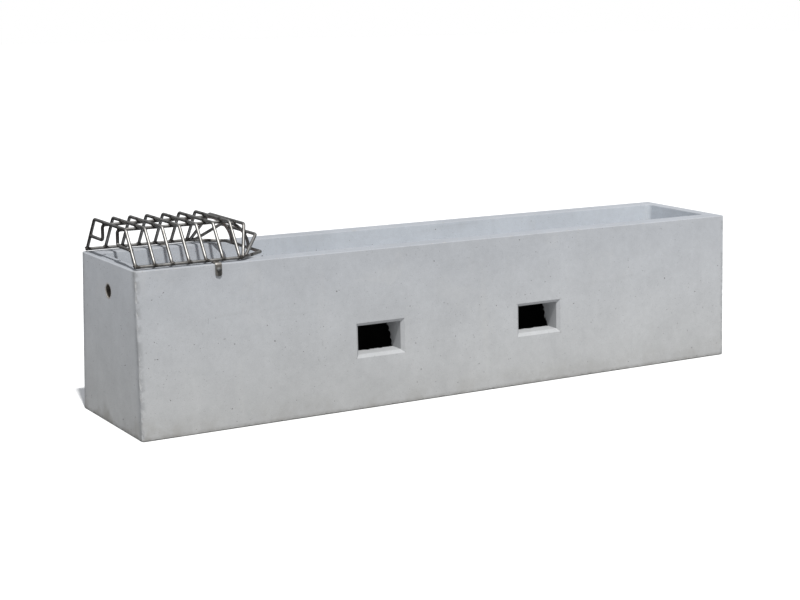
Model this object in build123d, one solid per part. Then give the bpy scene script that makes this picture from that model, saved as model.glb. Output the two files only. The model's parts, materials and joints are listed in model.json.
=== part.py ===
from build123d import *
import math
import os

os.makedirs("parts", exist_ok=True)

# Precast concrete stock trough with a round-bar guard over its float valve.
# Millimetres. +X along the length (the valve end is at -X), +Y to the back,
# +Z up. Origin on the ground at the centre of the footprint.

# ---------------------------------------------------------------- trough
LENGTH = 2700.0            # overall length, end walls vertical
END_X = LENGTH / 2         # outer face of the end walls
WIDTH_TOP = 500.0          # outer width at the rim
WIDTH_FOOT = 560.0         # outer width on the ground
HEIGHT = 600.0             # rim above the ground
EDGE_R = 9.0               # rounding of the upright corners
RIM_R = 4.0                # rounding of the rim, outside and inside
RIM_LONG = 70.0            # rim width of the long walls
RIM_END = 52.0             # rim width of the end walls
BASIN_FLOOR_Z = 365.0      # top of the basin floor
BASIN_DRAFT = 3.65         # degrees
BASIN_CORNER_R = 22.0
BASIN_FLOOR_R = 16.5
HOLLOW_ROOF_Z = 318.0      # underside of the slab
HOLLOW_WALL_FOOT = 70.0    # wall thickness on the ground, all round
HOLLOW_DRAFT = 5.0         # degrees, up to the haunch
HAUNCH_Z = 190.0           # above this the walls thicken towards the slab
HAUNCH_DRAFT = 24.5        # degrees
HOLLOW_CORNER_R = 110.0
HOLLOW_ROOF_R = 16.0
POCKET_X = 369.5           # fork pocket centres, left and right of the middle
POCKET_W = 188.0
POCKET_H = 109.0
POCKET_Z0 = 204.5          # sill
POCKET_Z = POCKET_Z0 + POCKET_H / 2
POCKET_BEVEL = 12.0
FLARE_OVER = 3.0           # the bevel cutter reaches this far off the wall
HOLE_DEPTH = 90.0          # cut through either end wall
INLET_Z = 492.0
INLET_R = 25.0
DRAIN_Z = 396.0
DRAIN_SOCKET_R = 21.0
DRAIN_RECESS_R = 40.0      # at its bottom
DRAIN_RECESS_FLARE = 3.0
DRAIN_RECESS_D = 22.0

SLOPE_PER_MM = (WIDTH_FOOT - WIDTH_TOP) / 2.0 / HEIGHT
SLOPE = math.atan(SLOPE_PER_MM)   # lean of the long walls

NEAR = 0.05                # tolerance for picking edges by height
OVER = 1.0                 # cutters overrun the faces they cut


# ---------------------------------------------------------------- helpers
def box(x0, x1, y0, y1, z0, z1):
    centre = Pos((x0 + x1) / 2, (y0 + y1) / 2, (z0 + z1) / 2)
    return centre * Box(abs(x1 - x0), abs(y1 - y0), abs(z1 - z0))


def cyl_x(x0, x1, radius, y=0.0, z=0.0):
    return Pos((x0 + x1) / 2, y, z) * Rot(0, 90, 0) * Cylinder(radius, abs(x1 - x0))


def cyl_y(y0, y1, radius, x=0.0, z=0.0):
    return Pos(x, (y0 + y1) / 2, z) * Rot(90, 0, 0) * Cylinder(radius, abs(y1 - y0))


def cyl_z(z0, z1, radius, x=0.0, y=0.0):
    return Pos(x, y, (z0 + z1) / 2) * Cylinder(radius, abs(z1 - z0))


def tube_x(x0, x1, radius, bore, z=0.0):
    return cyl_x(x0, x1, radius, z=z) - cyl_x(x0 - OVER, x1 + OVER, bore, z=z)


def hexagon(across_flats):
    return RegularPolygon(across_flats / math.sqrt(3.0), 6)


def hex_x(x0, x1, across_flats, z=0.0):
    """Hexagonal prism along X."""
    plane = Plane(origin=(x0, 0, z), x_dir=(0, 1, 0), z_dir=(1, 0, 0))
    return extrude(plane * hexagon(across_flats), abs(x1 - x0))


def round_corner(before, corner, after, radius):
    """Start, middle and end of the arc that rounds a corner."""
    back = (before - corner).normalized()
    ahead = (after - corner).normalized()
    half = math.acos(back.dot(ahead)) / 2.0
    setback = radius / math.tan(half)
    inward = (back + ahead).normalized()
    middle = corner + inward * (radius / math.sin(half) - radius)
    return corner + back * setback, middle, corner + ahead * setback


def bent_bar(points, radius, bends, closed=False):
    """Round bar along a polyline; bends is one radius or a list, one per corner."""
    points = [Vector(p) for p in points]
    count = len(points)
    corners = range(count) if closed else range(1, count - 1)
    if not isinstance(bends, list):
        bends = [bends] * len(corners)
    arcs = [round_corner(points[i - 1], points[i], points[(i + 1) % count], bend)
            for i, bend in zip(corners, bends)]
    edges = []
    if closed:
        for i, arc in enumerate(arcs):
            edges.append(ThreePointArc(*arc))
            edges.append(Line(arc[2], arcs[(i + 1) % count][0]))
    else:
        reached = points[0]
        for arc in arcs:
            edges.append(Line(reached, arc[0]))
            edges.append(ThreePointArc(*arc))
            reached = arc[2]
        edges.append(Line(reached, points[-1]))
    path = Wire(edges)
    return sweep(Plane(origin=path @ 0, z_dir=path % 0) * Circle(radius), path=path)


def end_wall_block(side):
    """Block lying on the -X side of the drafted basin face of one end wall."""
    draft = math.radians(BASIN_DRAFT)
    face = Plane(origin=(side * (END_X - RIM_END), 0, HEIGHT), x_dir=(0, 1, 0),
                 z_dir=(-math.cos(draft), 0, side * math.sin(draft)))
    return extrude(face * Rectangle(900, 1400), 60)


def save(name, shape):
    if isinstance(shape, list):
        shape = Compound(children=list(shape))
    shape.label = name
    export_step(shape, os.path.join("parts", name + ".step"))


# ================================================================ concrete shell
def outer_block():
    foot, top = WIDTH_FOOT / 2, WIDTH_TOP / 2
    section = Plane.YZ * make_face(Polyline(
        (-foot, 0), (foot, 0), (top, HEIGHT), (-top, HEIGHT), (-foot, 0)))
    block = extrude(section, END_X, both=True)
    upright = [e for e in block.edges()
               if abs(abs(e.center().X) - END_X) < 0.1
               and abs(e.center().Z - HEIGHT / 2) < 1.0]
    block = fillet(upright, EDGE_R)
    return fillet([e for e in block.edges() if e.center().Z > HEIGHT - NEAR], RIM_R)


def basin_void():
    face = Plane(origin=(0, 0, HEIGHT)) * RectangleRounded(
        LENGTH - 2 * RIM_END, WIDTH_TOP - 2 * RIM_LONG, BASIN_CORNER_R)
    basin = extrude(face, BASIN_FLOOR_Z - HEIGHT, taper=BASIN_DRAFT)
    floor = [e for e in basin.edges() if e.center().Z < BASIN_FLOOR_Z + NEAR]
    return fillet(floor, BASIN_FLOOR_R)


def underside_void():
    face = RectangleRounded(
        LENGTH - 2 * HOLLOW_WALL_FOOT, WIDTH_FOOT - 2 * HOLLOW_WALL_FOOT, HOLLOW_CORNER_R)
    hollow = extrude(face, HAUNCH_Z, taper=HOLLOW_DRAFT)
    haunch_foot = hollow.faces().sort_by(Axis.Z)[-1]
    haunch = extrude(haunch_foot, HOLLOW_ROOF_Z - HAUNCH_Z, taper=HAUNCH_DRAFT)
    roof = [e for e in haunch.edges() if e.center().Z > HOLLOW_ROOF_Z - NEAR]
    return hollow + fillet(roof, HOLLOW_ROOF_R)


def pocket_flare(side_x, side_y):
    """Bevel round a fork pocket's mouth, square to the leaning wall."""
    normal = Vector(0, side_y * math.cos(SLOPE), math.sin(SLOPE))
    wall_y = WIDTH_TOP / 2 + (HEIGHT - POCKET_Z) * SLOPE_PER_MM
    mouth = Vector(side_x * POCKET_X, side_y * wall_y, POCKET_Z)
    deep, proud = [Plane(origin=mouth + normal * off, x_dir=(1, 0, 0), z_dir=normal)
                   for off in (-POCKET_BEVEL, FLARE_OVER)]
    grow = 2 * (POCKET_BEVEL + FLARE_OVER)
    return loft([deep * Rectangle(POCKET_W, POCKET_H),
                 proud * Rectangle(POCKET_W + grow, POCKET_H + grow)])


def trough_shell():
    shell = outer_block() - basin_void()
    inner_rim = [e for e in shell.edges()
                 if e.center().Z > HEIGHT - NEAR
                 and abs(e.center().X) < END_X - RIM_END + 1
                 and abs(e.center().Y) < WIDTH_TOP / 2 - RIM_LONG + 1]
    shell = fillet(inner_rim, RIM_R)
    shell = shell - underside_void()
    for side_x in (-1, 1):
        x = side_x * POCKET_X
        shell = shell - box(x - POCKET_W / 2, x + POCKET_W / 2, -400, 400,
                            POCKET_Z0, POCKET_Z0 + POCKET_H)
        for side_y in (-1, 1):
            shell = shell - pocket_flare(side_x, side_y)
    shell = shell - cyl_x(-END_X - 5, -END_X + HOLE_DEPTH, INLET_R, z=INLET_Z)
    shell = shell - cyl_x(END_X - HOLE_DEPTH, END_X + 5, DRAIN_SOCKET_R, z=DRAIN_Z)
    recess = Pos(END_X - DRAIN_RECESS_D / 2, 0, DRAIN_Z) * Rot(0, 90, 0) * Cone(
        DRAIN_RECESS_R, DRAIN_RECESS_R + DRAIN_RECESS_FLARE, DRAIN_RECESS_D)
    return (shell - recess).solid()


save("trough_shell", trough_shell())

# ================================================================ reinforcement, cast in
REBAR_R = 4.0
RING_BEND_R = 22.0
RIM_RING_Z = 560.0
RIM_RING_Y = 214.8         # half width of the ring
RIM_RING_COVER = 27.0      # ring centre line from the end face
FOOT_RING_Z = 40.0
FOOT_RING_Y = 242.3
FOOT_RING_COVER = 36.0
MESH_Z = 338.0             # long bars; the cross bars lie on them
MESH_BITE = 0.6            # overlap of crossing bars
MESH_HALF_LENGTH = 1290.0
MESH_HALF_WIDTH = 205.0
MESH_LONG_Y = (-135.0, -45.0, 45.0, 135.0)
MESH_CROSS_X = -1260.0     # first cross bar
MESH_PITCH = 210.0
MESH_CROSS_COUNT = 13
WALL_BAR_OVER = 8.0        # wall bars run past the rings, below and above
WALL_BAR_X = (-1240, -1130, -1000, -860, -720, -590, -170, 0,
              170, 590, 720, 860, 1000, 1130, 1240)   # clear of the pockets


def rebar_ring(z, half_x, half_y):
    return bent_bar([(-half_x, -half_y, z), (half_x, -half_y, z),
                     (half_x, half_y, z), (-half_x, half_y, z)],
                    REBAR_R, RING_BEND_R, closed=True)


def slab_mesh():
    rods = [cyl_x(-MESH_HALF_LENGTH, MESH_HALF_LENGTH, REBAR_R, y=y, z=MESH_Z)
            for y in MESH_LONG_Y]
    rods += [cyl_y(-MESH_HALF_WIDTH, MESH_HALF_WIDTH, REBAR_R,
                   x=MESH_CROSS_X + i * MESH_PITCH, z=MESH_Z + 2 * REBAR_R - MESH_BITE)
             for i in range(MESH_CROSS_COUNT)]
    mesh = rods[0]
    for rod in rods[1:]:
        mesh = mesh + rod
    return mesh


def wall_bar(x, side):
    """Straight bar leaning with the wall, outside both rings."""
    foot = Vector(x, side * (FOOT_RING_Y + 2 * REBAR_R), FOOT_RING_Z - WALL_BAR_OVER)
    top = Vector(x, side * (RIM_RING_Y + 2 * REBAR_R), RIM_RING_Z + WALL_BAR_OVER)
    run = top - foot
    return extrude(Plane(origin=foot, z_dir=run) * Circle(REBAR_R), run.length)


save("rim_rebar_ring", rebar_ring(RIM_RING_Z, END_X - RIM_RING_COVER, RIM_RING_Y))
save("foot_rebar_ring", rebar_ring(FOOT_RING_Z, END_X - FOOT_RING_COVER, FOOT_RING_Y))
save("slab_rebar_mesh", slab_mesh())
save("wall_rebar_bars", [wall_bar(x, side) for side in (-1, 1) for x in WALL_BAR_X])

# ================================================================ guard
BAR_R = 6.0                # round bar of the guard
BAR_REACH = BAR_R - 0.5    # bar ends stop this far from the centre line they meet
CROSS_BITE = 0.4           # overlap of crossing bars
STRAP_T = 5.0
STRAP_W = 25.0
STRAP_X = -1033.5
STRAP_FOOT_Z = 557.0
STRAP_GAP = 1.0            # strap leg off the wall face
STRAP_INNER_R = 4.0        # bend over the rim
STRAP_OUTER_R = 9.0
STRAP_FOOT_R = 9.0         # rounded corners of the foot
STRAP_PAST_BAR = 9.0       # strap end inside the base frame's centre line
SCREW_Z = 580.0            # where the screw axis meets the wall
SCREW_R = 4.0              # M8
SCREW_HOLE_R = SCREW_R + 0.05
SCREW_WALL_GAP = 0.05      # screw tip off the wall
HEX_AF = 13.0
NUT_FLANGE_R = 8.5
NUT_FLANGE_T = 1.6
NUT_HEX_T = 3.6
HEAD_GAP = 0.4             # screw head off the nut
HEAD_H = 5.3
HEAD_CHAMFER = 30.0        # degrees
HEAD_STRAIGHT = 2.8        # part of the head below the chamfer cone
GUARD_Z = HEIGHT + STRAP_T + BAR_R - 0.3   # base frame sits welded on the straps
GUARD_HALF = 229.0         # half width at the base frame
GUARD_TOP_HALF = 146.0     # half width of the rib tops
GUARD_TOP_Z = 732.0
RIB_X1 = -1337.0           # end rib, a little outside the pitch of the others
RIB_X2 = -1265.3
RIB_PITCH = 65.7
RIB_COUNT = 7
RIB_BEND_R = 17.0
BASE_END_X = RIB_X1 - 5    # base frame's free ends
END_CORNER_X = -925.0      # base frame leaves the wall here
END_BAR_X = -812.0         # and crosses the basin here
BASE_BENDS = [30.0, 14.0, 14.0, 30.0]
FAN = [                    # foot x, foot half width, top x, top z of the leaning ribs
    (-924.5, 228.5, -878.6, 719.0),
    (-911.5, 219.1, -831.3, 676.5),
]
LONG_BAR_Y = 70.0
LONG_BAR_Z = GUARD_TOP_Z - 2 * BAR_R + CROSS_BITE
LONG_BAR_STEP_Z = 665.0    # height of the outward run to the end rib's legs
LONG_BAR_BENDS = [13.0, 10.0]
LONG_BAR_ARC_X = -932.9    # quarter arc starts here
LONG_BAR_END_X = END_BAR_X - 2 * BAR_R + CROSS_BITE
LONG_BAR_FOOT_Z = GUARD_Z - 1.0


def base_frame():
    return bent_bar([
        (BASE_END_X, -GUARD_HALF, GUARD_Z), (END_CORNER_X, -GUARD_HALF, GUARD_Z),
        (END_BAR_X, -GUARD_TOP_HALF, GUARD_Z), (END_BAR_X, GUARD_TOP_HALF, GUARD_Z),
        (END_CORNER_X, GUARD_HALF, GUARD_Z), (BASE_END_X, GUARD_HALF, GUARD_Z)],
        BAR_R, BASE_BENDS)


def rib(foot_x, foot_half, top_x, top_z):
    """One bent bar whose ends sit on the base frame."""
    foot = Vector(foot_x, -foot_half, GUARD_Z)
    top = Vector(top_x, -GUARD_TOP_HALF, top_z)
    start = foot + (top - foot).normalized() * BAR_REACH
    return bent_bar([start, top, (top.X, -top.Y, top.Z), (start.X, -start.Y, start.Z)],
                    BAR_R, RIB_BEND_R)


def long_bar(side):
    """From a leg of rib 1, up to the rib tops, along, and down to the end bar."""
    rise = (LONG_BAR_STEP_Z - GUARD_Z) / (GUARD_TOP_Z - GUARD_Z)
    leg_y = GUARD_HALF - (GUARD_HALF - GUARD_TOP_HALF) * rise
    y = side * LONG_BAR_Y
    return bent_bar([
        (RIB_X1, side * (leg_y - BAR_REACH), LONG_BAR_STEP_Z),
        (RIB_X1, y, LONG_BAR_STEP_Z), (RIB_X1, y, LONG_BAR_Z),
        (LONG_BAR_END_X, y, LONG_BAR_Z), (LONG_BAR_END_X, y, LONG_BAR_FOOT_Z)],
        BAR_R, LONG_BAR_BENDS + [LONG_BAR_END_X - LONG_BAR_ARC_X])


save("guard_base_frame", base_frame())
for i in range(RIB_COUNT):
    x = RIB_X1 if i == 0 else RIB_X2 + (i - 1) * RIB_PITCH
    save("guard_rib_%d" % (i + 1), rib(x, GUARD_HALF, x, GUARD_TOP_Z))
for number, sizes in enumerate(FAN, RIB_COUNT + 1):
    save("guard_fan_rib_%d" % number, rib(*sizes))
save("guard_long_bar_front", long_bar(-1))
save("guard_long_bar_back", long_bar(1))

# Straps, nuts and screws are drawn for the front wall and mirrored for the back.
DOWN_WALL = Vector(0, -math.sin(SLOPE), -math.cos(SLOPE))
OFF_WALL = Vector(0, -math.cos(SLOPE), math.sin(SLOPE))
NUT_OFF = STRAP_GAP + STRAP_T              # distances off the wall on the screw axis
NUT_HEX_OFF = NUT_OFF + NUT_FLANGE_T
HEAD_OFF = NUT_HEX_OFF + NUT_HEX_T + HEAD_GAP


def screw_plane(off):
    """Plane across the screw axis at a distance off the concrete face."""
    wall = Vector(STRAP_X, -WIDTH_TOP / 2, HEIGHT)
    wall = wall + DOWN_WALL * ((HEIGHT - SCREW_Z) / math.cos(SLOPE))
    return Plane(origin=wall + OFF_WALL * off, x_dir=(1, 0, 0), z_dir=OFF_WALL)


def guard_strap():
    """Flat bar over the rim and down the wall face."""
    x = STRAP_X - STRAP_W / 2
    end_y = -GUARD_HALF + STRAP_PAST_BAR
    end_low = Vector(x, end_y, HEIGHT)
    end_high = Vector(x, end_y, HEIGHT + STRAP_T)
    inner = Vector(x, -WIDTH_TOP / 2 - STRAP_GAP / math.cos(SLOPE), HEIGHT)
    foot_in = inner + DOWN_WALL * ((HEIGHT - STRAP_FOOT_Z) / math.cos(SLOPE))
    foot_out = foot_in + OFF_WALL * STRAP_T
    outer = foot_out - DOWN_WALL * ((HEIGHT + STRAP_T - foot_out.Z) / math.cos(SLOPE))
    inner_arc = round_corner(end_low, inner, foot_in, STRAP_INNER_R)
    outer_arc = round_corner(foot_out, outer, end_high, STRAP_OUTER_R)
    outline = Wire([
        Line(end_low, inner_arc[0]), ThreePointArc(*inner_arc), Line(inner_arc[2], foot_in),
        Line(foot_in, foot_out), Line(foot_out, outer_arc[0]), ThreePointArc(*outer_arc),
        Line(outer_arc[2], end_high), Line(end_high, end_low)])
    strap = extrude(Face(outline), STRAP_W, dir=(1, 0, 0))
    foot_edges = [e for e in strap.edges()
                  if e.center().Z < STRAP_FOOT_Z + 3 and abs(e.length - STRAP_T) < 0.01
                  and abs(abs(e.center().X - STRAP_X) - STRAP_W / 2) < 0.01]
    strap = fillet(foot_edges, STRAP_FOOT_R)
    return strap - extrude(screw_plane(-3) * Circle(SCREW_HOLE_R), 20)


def lock_nut():
    nut = extrude(screw_plane(NUT_OFF) * Circle(NUT_FLANGE_R), NUT_FLANGE_T) + extrude(
        screw_plane(NUT_HEX_OFF) * hexagon(HEX_AF), NUT_HEX_T)
    return nut - extrude(screw_plane(NUT_OFF - OVER) * Circle(SCREW_HOLE_R), 20)


def clamp_screw():
    """Hexagon-headed screw; a cone trims the corners of its head."""
    shank = HEAD_OFF - SCREW_WALL_GAP + 1.0
    screw = extrude(screw_plane(SCREW_WALL_GAP) * Circle(SCREW_R), shank) + extrude(
        screw_plane(HEAD_OFF) * hexagon(HEX_AF), HEAD_H)
    cone_r = HEX_AF / 2 + 0.3 + HEAD_H * math.tan(math.radians(HEAD_CHAMFER))
    cone = extrude(screw_plane(HEAD_OFF) * Circle(cone_r), HEAD_H, taper=HEAD_CHAMFER)
    untrimmed = extrude(screw_plane(-OVER) * Circle(30), HEAD_OFF + OVER + HEAD_STRAIGHT)
    return screw & (cone + untrimmed)


for name, piece in (("guard_strap", guard_strap()), ("clamp_screw", clamp_screw())):
    save(name + "_front", piece)
    save(name + "_back", mirror(piece, about=Plane.XZ))
nut = lock_nut()
save("guard_lock_nuts", [nut, mirror(nut, about=Plane.XZ)])

# ================================================================ float valve
TAIL_X = -1326.0           # end of the threaded tail, inside the inlet hole
TAIL_R = 13.2
FLANGE_X = -1284.0
FLANGE_R = 28.0
FLANGE_T = 6.0
BARREL_R = 15.0
BARREL_END_X = -1210.0
BORE_X = -1262.0           # inner end of the bore
BORE_R = 10.05
SPOUT_X = -1249.0
SPOUT_R = 8.0
SPOUT_DROP = 14.0          # below the barrel
NOZZLE_TIP_X = -1252.0
PISTON_X0 = -1250.0
PISTON_X1 = -1214.0
PISTON_R = 10.0
PISTON_SEAL_X0 = -1251.95
PISTON_SEAL_X1 = -1248.0
PISTON_SEAL_R = 7.0
PIVOT_X = -1226.0
PIVOT_Z = 470.0
EAR_IN = 3.3               # ears from this |y|
EAR_OUT = 9.3              # to this
EAR_R = 7.0
NOSE_R = 4.0
NOSE_H = 16.0              # lever nose above the pivot
PIN_R = 2.5
BUSH_X0 = -1313.0
BUSH_X1 = -1297.0
CLAMP_WASHER_T = 2.0
BACK_NUT_T = 7.0


def valve_body():
    z = INLET_Z
    body = cyl_x(TAIL_X, FLANGE_X + 1, TAIL_R, z=z)
    body = body + cyl_x(FLANGE_X, FLANGE_X + FLANGE_T, FLANGE_R, z=z)
    body = body + cyl_x(FLANGE_X + FLANGE_T - 1, BARREL_END_X, BARREL_R, z=z)
    body = body + cyl_z(z - BARREL_R - SPOUT_DROP, z - 8, SPOUT_R, x=SPOUT_X)
    for side in (-1, 1):
        y0, y1 = side * EAR_IN, side * EAR_OUT
        ear = box(PIVOT_X - EAR_R, PIVOT_X + EAR_R, y0, y1, PIVOT_Z, z - 9.8)
        body = body + (ear + cyl_y(y0, y1, EAR_R, x=PIVOT_X, z=PIVOT_Z))
    # tail bore, water way, piston bore, spout, lever slot, pin hole
    body = body - cyl_x(TAIL_X - OVER, TAIL_X + 18, 9.5, z=z)
    body = body - cyl_x(TAIL_X + 10, BORE_X + 2, 6.0, z=z)
    body = body - cyl_x(BORE_X, BARREL_END_X + OVER, BORE_R, z=z)
    body = body - cyl_z(z - BARREL_R - 20, z, 5.0, x=SPOUT_X)
    body = body - box(PIVOT_X - 6.5, PIVOT_X + 8.5, -3.4, 3.4, z - BARREL_R - 5, z - 4)
    body = body - cyl_y(-15, 15, PIN_R + 0.02, x=PIVOT_X, z=PIVOT_Z)
    return body.solid()


def valve_nozzle():
    z = INLET_Z
    nozzle = cyl_x(BORE_X, BORE_X + 6, BORE_R, z=z)
    nozzle = nozzle + cyl_x(BORE_X + 5, NOZZLE_TIP_X, 5.0, z=z)
    return nozzle - cyl_x(BORE_X - OVER, NOZZLE_TIP_X + OVER, 2.5, z=z)


def valve_piston():
    """Piston with a seat for its seal and a slot for the lever nose."""
    z = INLET_Z
    piston = cyl_x(PISTON_X0, PISTON_X1, PISTON_R, z=z)
    piston = piston - cyl_x(PISTON_X0 - OVER, PISTON_SEAL_X1, PISTON_SEAL_R, z=z)
    slot = NOSE_R + 0.15
    return piston - box(PIVOT_X - slot, PIVOT_X + slot, -3.3, 3.3,
                        z - 12, PIVOT_Z + NOSE_H + NOSE_R + 0.6)


def valve_end_cap():
    """Disc with a small boss, slotted across."""
    x, z = BARREL_END_X, INLET_Z
    cap = cyl_x(x, x + 5, BARREL_R, z=z) + cyl_x(x + 5, x + 8, 8.0, z=z)
    return cap - box(x + 5.5, x + 9, -9, 9, z - 1, z + 1)


def pivot_pin():
    """Pin with a head at the front and a smaller collar at the back."""
    spans = ((-12.0, 12.0, PIN_R), (-13.5, -9.6, 4.5), (9.7, 11.2, 4.0))   # y0, y1, radius
    shank, head, collar = [cyl_y(*span, x=PIVOT_X, z=PIVOT_Z) for span in spans]
    return shank + head + collar


def inlet_seal():
    """Washer between the drafted basin wall and the flange."""
    seal = cyl_x(FLANGE_X - 14, FLANGE_X, 32.0, z=INLET_Z) - end_wall_block(-1)
    seal = seal - cyl_x(FLANGE_X - 15, FLANGE_X + OVER, TAIL_R, z=INLET_Z)
    return seal.solid()


def inlet_back_nut():
    x1 = BUSH_X0 - CLAMP_WASHER_T
    x0 = x1 - BACK_NUT_T
    return hex_x(x0, x1, 36.0, INLET_Z) - cyl_x(x0 - OVER, x1 + OVER, TAIL_R, z=INLET_Z)


save("valve_body", valve_body())
save("valve_nozzle", valve_nozzle())
save("valve_piston", valve_piston())
save("piston_seal", cyl_x(PISTON_SEAL_X0, PISTON_SEAL_X1, PISTON_SEAL_R, z=INLET_Z))
save("valve_end_cap", valve_end_cap())
save("lever_pivot_pin", pivot_pin())
save("inlet_seal_washer", inlet_seal())
save("inlet_bush", tube_x(BUSH_X0, BUSH_X1, INLET_R, TAIL_R, INLET_Z))
save("inlet_clamp_washer", tube_x(BUSH_X0 - CLAMP_WASHER_T, BUSH_X0, 23.0, TAIL_R, INLET_Z))
save("inlet_back_nut", inlet_back_nut())

# ---------------------------------------------------------------- lever, rod and float
# These turn together about the pivot pin.
FLOAT_R = 55.0
FLOAT_X = -905.0
FLOAT_Z = 500.0
FLOAT_WALL = 2.5
FLOAT_SOCKET = 14.0        # the rod enters the float this far
ARM_ANGLE = math.degrees(math.atan2(FLOAT_Z - PIVOT_Z, FLOAT_X - PIVOT_X))
ARM_REACH = math.hypot(FLOAT_Z - PIVOT_Z, FLOAT_X - PIVOT_X)
ROD_R = 4.0
ROD_START = 40.0           # distances along the arm from the pivot
SLEEVE_END = 52.0
LEVER_Y = 2.9              # half thickness


def on_arm(shape):
    """Lay in place a shape drawn with the pivot at the origin and the arm along +X."""
    return Pos(PIVOT_X, 0, PIVOT_Z) * Rot(0, -ARM_ANGLE, 0) * shape


def valve_lever():
    nose = cyl_y(-LEVER_Y, LEVER_Y, NOSE_R, x=PIVOT_X, z=PIVOT_Z + NOSE_H)
    neck = box(PIVOT_X - 2.6, PIVOT_X + 2.6, -LEVER_Y, LEVER_Y, PIVOT_Z, PIVOT_Z + NOSE_H)
    hub = cyl_y(-LEVER_Y, LEVER_Y, 6.5, x=PIVOT_X, z=PIVOT_Z)
    arm = on_arm(box(0, 34, -LEVER_Y, LEVER_Y, -3.4, 3.0) + cyl_x(30, SLEEVE_END, 7.0))
    lever = nose + neck + hub + arm
    lever = lever - cyl_y(-10, 10, PIN_R + 0.06, x=PIVOT_X, z=PIVOT_Z)
    return (lever - on_arm(cyl_x(ROD_START, 60, ROD_R))).solid()


def float_halves():
    """Hollow half balls with a band round the joint; the inner one holds the rod."""
    ball = Sphere(FLOAT_R) - Sphere(FLOAT_R - FLOAT_WALL)
    band = tube_x(-2.0, 2.0, FLOAT_R + 1.2, FLOAT_R - FLOAT_WALL)
    boss = cyl_x(-FLOAT_R + 1.2, -FLOAT_R + 20.0, 9.0)
    socket = cyl_x(-FLOAT_R - 5, -FLOAT_R + FLOAT_SOCKET, ROD_R)
    near_side = box(-80, 0, -80, 80, -80, 80)
    far_side = box(0, 80, -80, 80, -80, 80)
    inner = (ball & near_side) + (boss & Sphere(FLOAT_R + 2)) + (band & near_side)
    return inner - socket, (ball & far_side) + (band & far_side)


save("valve_lever", valve_lever())
save("float_rod", on_arm(cyl_x(ROD_START, ARM_REACH - FLOAT_R + FLOAT_SOCKET, ROD_R)))
save("rod_lock_nut", on_arm(hex_x(SLEEVE_END, SLEEVE_END + 6, 13.0)
                            - cyl_x(SLEEVE_END - OVER, SLEEVE_END + 6 + OVER, ROD_R)))
inner_half, outer_half = float_halves()
save("float_half_inner", on_arm(Pos(ARM_REACH, 0, 0) * inner_half))
save("float_half_outer", on_arm(Pos(ARM_REACH, 0, 0) * outer_half))

# ================================================================ drain
DRAIN_X = END_X - DRAIN_RECESS_D   # bottom of the recess, outer end of the socket
PLUG_R = 16.0
PLUG_BORE_R = PLUG_R + 0.05
PLUG_HEAD_R = 24.0
DRAIN_SEAL_T = 2.0


def drain_plug():
    """Plug with a round head and a square grip."""
    head_x = DRAIN_X + DRAIN_SEAL_T
    plug = cyl_x(DRAIN_X - 34, head_x, PLUG_R, z=DRAIN_Z)
    plug = plug + cyl_x(head_x, head_x + 4, PLUG_HEAD_R, z=DRAIN_Z)
    return plug + box(head_x + 3, head_x + 17, -10, 10, DRAIN_Z - 10, DRAIN_Z + 10)


socket = tube_x(END_X - 75, DRAIN_X, DRAIN_SOCKET_R, PLUG_BORE_R, DRAIN_Z)
save("drain_socket", (socket - end_wall_block(1)).solid())
save("drain_plug", drain_plug())
save("drain_seal", tube_x(DRAIN_X, DRAIN_X + DRAIN_SEAL_T, PLUG_HEAD_R, PLUG_BORE_R, DRAIN_Z))
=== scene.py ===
import bpy, bmesh, json, math, random
import numpy as np
from mathutils import Vector, Matrix, noise


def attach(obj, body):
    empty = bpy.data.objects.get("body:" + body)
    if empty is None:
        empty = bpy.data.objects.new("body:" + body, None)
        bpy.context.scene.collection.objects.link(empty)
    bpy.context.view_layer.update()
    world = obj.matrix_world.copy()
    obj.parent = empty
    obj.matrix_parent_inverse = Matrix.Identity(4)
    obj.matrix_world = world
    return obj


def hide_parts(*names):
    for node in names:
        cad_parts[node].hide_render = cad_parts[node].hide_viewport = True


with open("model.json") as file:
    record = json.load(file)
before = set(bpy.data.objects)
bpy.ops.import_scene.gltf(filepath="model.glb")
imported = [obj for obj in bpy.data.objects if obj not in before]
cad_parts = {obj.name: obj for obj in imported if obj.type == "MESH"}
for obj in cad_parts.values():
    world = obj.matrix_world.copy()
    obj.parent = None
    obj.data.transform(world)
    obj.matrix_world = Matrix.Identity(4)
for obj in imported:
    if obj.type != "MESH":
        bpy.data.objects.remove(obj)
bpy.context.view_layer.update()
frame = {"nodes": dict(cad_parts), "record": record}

NODES = frame["nodes"]
random.seed(7)
RNG = np.random.default_rng(7)
MM = 0.001


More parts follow.
